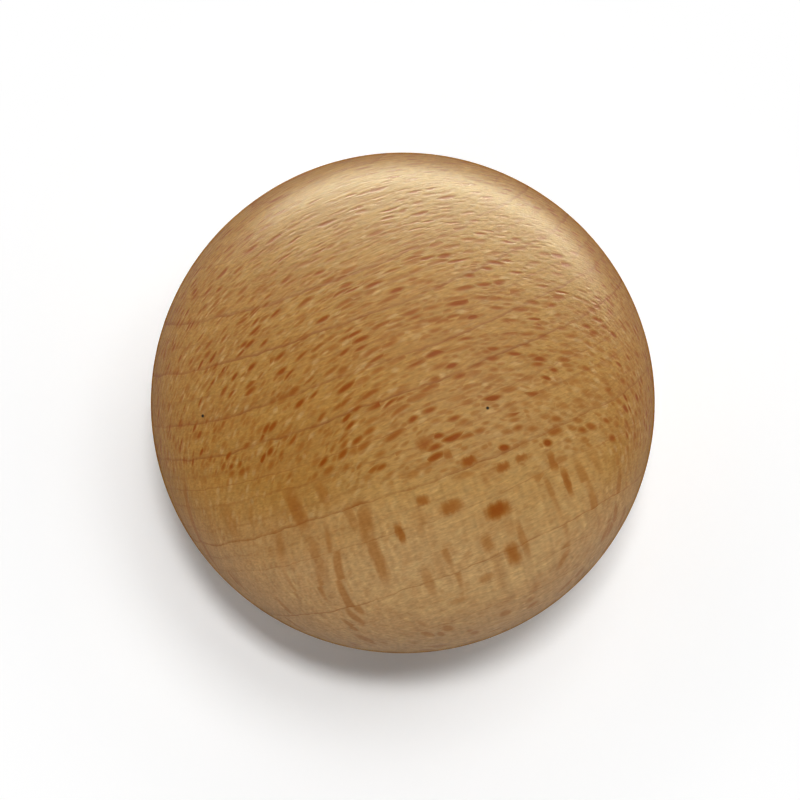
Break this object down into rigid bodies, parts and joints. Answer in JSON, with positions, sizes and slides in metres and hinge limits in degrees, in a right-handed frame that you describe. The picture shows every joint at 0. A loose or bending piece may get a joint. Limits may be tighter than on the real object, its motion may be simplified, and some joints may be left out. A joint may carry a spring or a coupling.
{
  "type": "wooden knob",
  "caption": "Turned beech mushroom knob with a domed head, waisted stem, flat foot and a blind screw hole for fixing from behind.",
  "frame": {"origin": "centre of the flat mounting face under the foot", "axes": "+Z along the turning axis, from the mounting face to the crown; the wood's grain runs nearly along +X and its growth rings lie nearly square to +Y"},
  "size_m": [0.05, 0.05, 0.038],
  "materials": {
    "beech": "turned and sanded beech under a thin clear satin finish"
  },
  "bodies": {
    "root": {"knob": "beech"}
  },
  "joints": []
}
